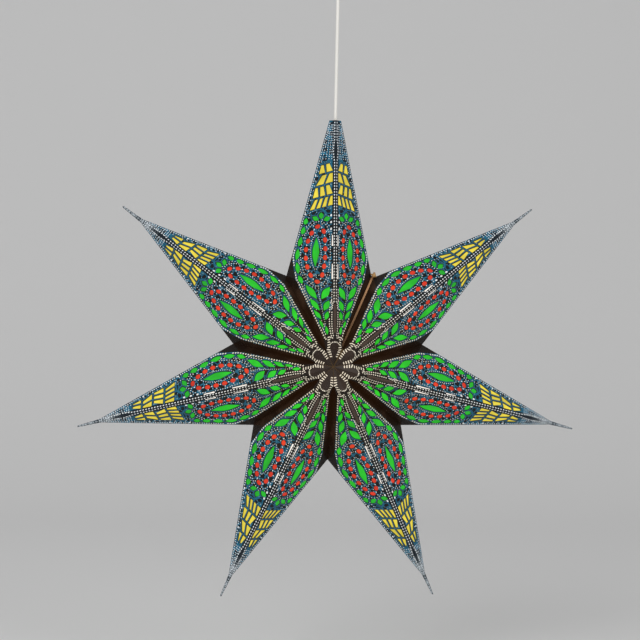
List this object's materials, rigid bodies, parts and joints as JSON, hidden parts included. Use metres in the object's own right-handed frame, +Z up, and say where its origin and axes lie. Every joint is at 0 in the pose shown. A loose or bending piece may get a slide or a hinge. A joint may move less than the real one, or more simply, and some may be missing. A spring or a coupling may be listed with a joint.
{
  "type": "paper star lantern",
  "caption": "Hanging folded-paper star lantern with tissue-backed cut-out windows, a lamp inside, and a cord up to a ceiling cup.",
  "frame": {"origin": "On the ceiling plane at the cord's axis, midway between the two fixing holes of the strap.", "axes": "+Z up, along the plumb cord; -Y is the front of the star, towards the viewer; +X to the viewer's right."},
  "size_m": [0.5811, 0.18, 0.7561],
  "materials": {
    "printed_card": "matte print of dark blue-grey with teal ribbons and pale dots",
    "yellow_tissue": "thin translucent tissue",
    "red_tissue": "thin translucent tissue",
    "white_tissue": "thin translucent tissue",
    "green_tissue": "thin translucent tissue",
    "grey_board": "plain board, cut edge",
    "string": "twisted string",
    "lamp_glass": "frosted, lit",
    "contact_metal": "plain",
    "holder_plastic": "smooth black",
    "cord_sheath": "smooth sheath",
    "stop_wood": "plain sanded",
    "cup_plastic": "smooth",
    "strap_steel": "zinc plated",
    "block_plastic": "plain"
  },
  "bodies": {
    "root": {"arm_1": "printed_card", "arm_2": "printed_card", "arm_3": "printed_card", "arm_4": "printed_card", "arm_5": "printed_card", "arm_6": "printed_card", "arm_7": "printed_card", "yellow_tissue_1": "yellow_tissue", "yellow_tissue_2": "yellow_tissue", "yellow_tissue_3": "yellow_tissue", "yellow_tissue_4": "yellow_tissue", "yellow_tissue_5": "yellow_tissue", "yellow_tissue_6": "yellow_tissue", "yellow_tissue_7": "yellow_tissue", "red_tissue_1": "red_tissue", "red_tissue_2": "red_tissue", "red_tissue_3": "red_tissue", "red_tissue_4": "red_tissue", "red_tissue_5": "red_tissue", "red_tissue_6": "red_tissue", "red_tissue_7": "red_tissue", "white_tissue_1": "white_tissue", "white_tissue_2": "white_tissue", "white_tissue_3": "white_tissue", "white_tissue_4": "white_tissue", "white_tissue_5": "white_tissue", "white_tissue_6": "white_tissue", "white_tissue_7": "white_tissue", "green_tissue_1": "green_tissue", "green_tissue_2": "green_tissue", "green_tissue_3": "green_tissue", "green_tissue_4": "green_tissue", "green_tissue_5": "green_tissue", "green_tissue_6": "green_tissue", "green_tissue_7": "green_tissue", "closing_board_1": "grey_board", "closing_board_2": "grey_board", "closing_tie": "string", "bulb": "lamp_glass", "centre_contact": "contact_metal", "screw_shell": "contact_metal", "holder_core": "holder_plastic", "holder_sleeve": "holder_plastic", "holder_cap": "holder_plastic", "power_cord": "cord_sheath", "cord_stop": "stop_wood", "ceiling_cup": "cup_plastic", "mounting_strap": "strap_steel", "terminal_block": "block_plastic", "cord_grip": "cup_plastic", "cup_screws": "strap_steel"}
  },
  "joints": []
}
